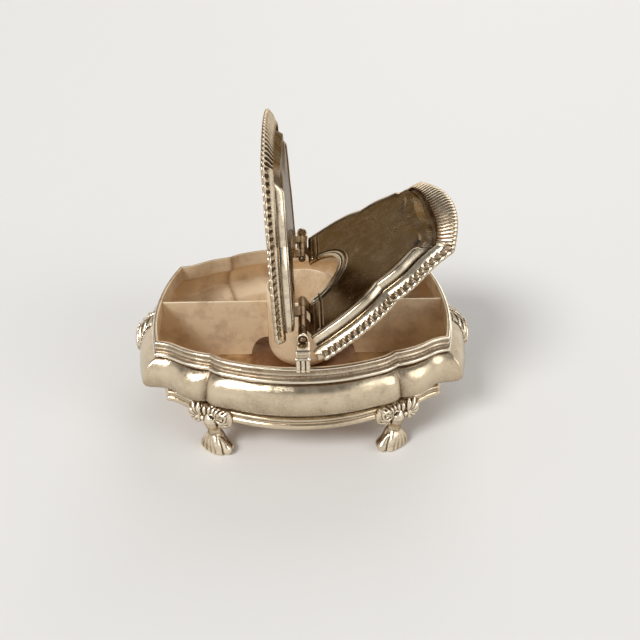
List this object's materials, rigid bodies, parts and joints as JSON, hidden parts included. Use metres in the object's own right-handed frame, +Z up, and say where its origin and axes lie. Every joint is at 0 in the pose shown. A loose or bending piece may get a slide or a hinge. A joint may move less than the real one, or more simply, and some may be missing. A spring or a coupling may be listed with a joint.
{
  "type": "havdalah spice box",
  "caption": "Footed serpentine spice box with a fixed central beaker, sheet dividers and gadrooned lids hinged across the middle.",
  "frame": {"origin": "on the ground under the middle of the beaker", "axes": "+X along the box to its right end, +Y to its back along the hinge line, +Z up"},
  "size_m": [0.1758, 0.1324, 0.1455],
  "materials": {
    "silver": "polished silver plate, worn",
    "worn_silver": "dull tarnished silver plate",
    "cast_silver": "cast and chased silver plate, tarnished in the hollows"
  },
  "bodies": {
    "box": {"body_shell": "silver", "rim_moulding": "silver", "base_moulding": "silver", "floor_plate": "worn_silver", "centre_cup": "silver", "divider_right": "worn_silver", "divider_left": "worn_silver", "foot_front_left": "cast_silver", "foot_front_right": "cast_silver", "foot_rear_left": "cast_silver", "foot_rear_right": "cast_silver", "end_ornament_right": "cast_silver", "end_ornament_left": "cast_silver", "hinge_post_front": "cast_silver", "hinge_post_rear": "cast_silver", "hinge_pin_front": "silver", "hinge_pin_rear": "silver"},
    "lid_left": {"lid_panel_left": "silver", "gadroon_border_left": "cast_silver", "knuckle_left_rear_outer": "silver", "knuckle_left_rear_inner": "silver", "knuckle_left_front_middle": "silver"},
    "lid_right": {"lid_panel_right": "silver", "gadroon_border_right": "cast_silver", "knuckle_right_front_outer": "silver", "knuckle_right_front_inner": "silver", "knuckle_right_rear_middle": "silver"}
  },
  "joints": [
    {"name": "left_lid_hinge", "type": "hinge", "parent": "box", "child": "lid_left", "pos_m": [0, 0, 0.065], "axis": [0, 1, 0], "range_deg": [-87, 3]},
    {"name": "right_lid_hinge", "type": "hinge", "parent": "box", "child": "lid_right", "pos_m": [0, 0, 0.065], "axis": [0, -1, 0], "range_deg": [-36.5, 53.5]}
  ]
}
